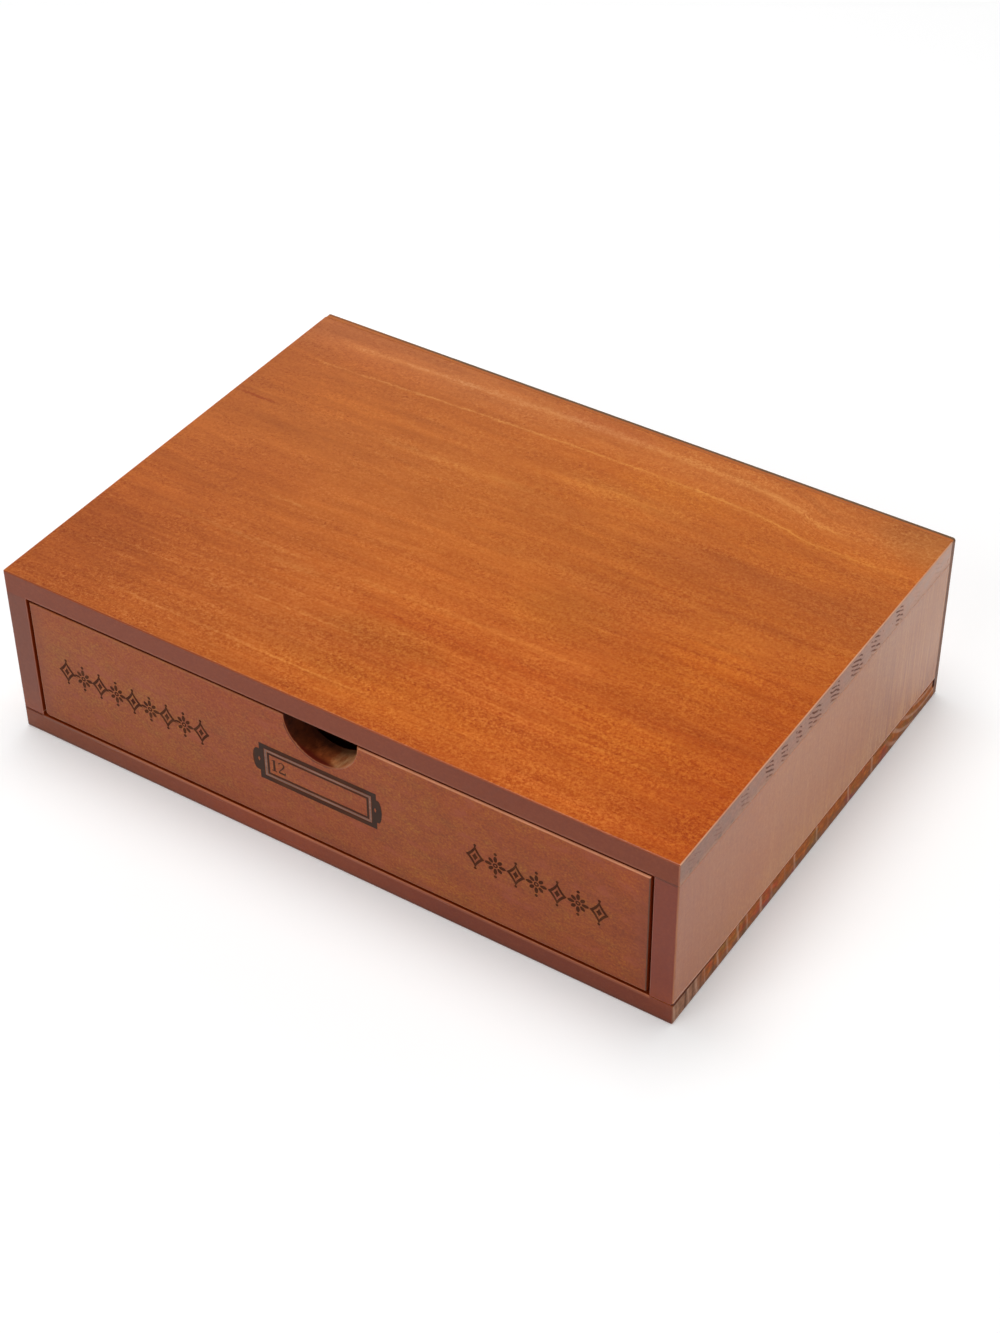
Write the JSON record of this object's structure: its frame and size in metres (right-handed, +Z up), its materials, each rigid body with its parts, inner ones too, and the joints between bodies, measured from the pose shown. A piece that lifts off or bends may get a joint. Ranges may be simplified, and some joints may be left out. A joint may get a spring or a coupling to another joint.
{
  "type": "drawer box",
  "caption": "Flat wooden box with a full-width drawer that slides out forwards, opened by a half-moon finger notch, for keeping small craft parts.",
  "frame": {"origin": "bottom centre of the outside of the box, on the surface it stands on", "axes": "+X to the right as seen from the front, +Y to the rear, +Z up; the drawer opens towards -Y"},
  "size_m": [0.245, 0.175, 0.065],
  "materials": {
    "box_wood": "brown-orange stained solid wood, satin lacquer",
    "drawer_wood": "brown stained solid wood, satin lacquer",
    "inner_wood": "thinly stained wood, matt",
    "thin_panel": "stained thin plywood, matt",
    "steel_pins": "bright steel brads and nails",
    "printed_ink": "flat dark ink printed on the drawer front"
  },
  "bodies": {
    "carcass": {"top_board": "box_wood", "bottom_board": "box_wood", "left_side_board": "box_wood", "right_side_board": "box_wood", "back_panel": "thin_panel", "top_board_brads": "steel_pins", "bottom_board_brads": "steel_pins", "back_panel_nails": "steel_pins"},
    "drawer": {"drawer_front": "drawer_wood", "drawer_left_side": "inner_wood", "drawer_right_side": "inner_wood", "drawer_back": "inner_wood", "drawer_bottom_panel": "thin_panel", "drawer_front_brads": "steel_pins", "drawer_back_brads": "steel_pins", "drawer_bottom_nails": "steel_pins"}
  },
  "joints": [
    {"name": "drawer_slide", "type": "slide", "parent": "carcass", "child": "drawer", "axis": [0, -1, 0], "range_m": [0, 0.13]}
  ]
}
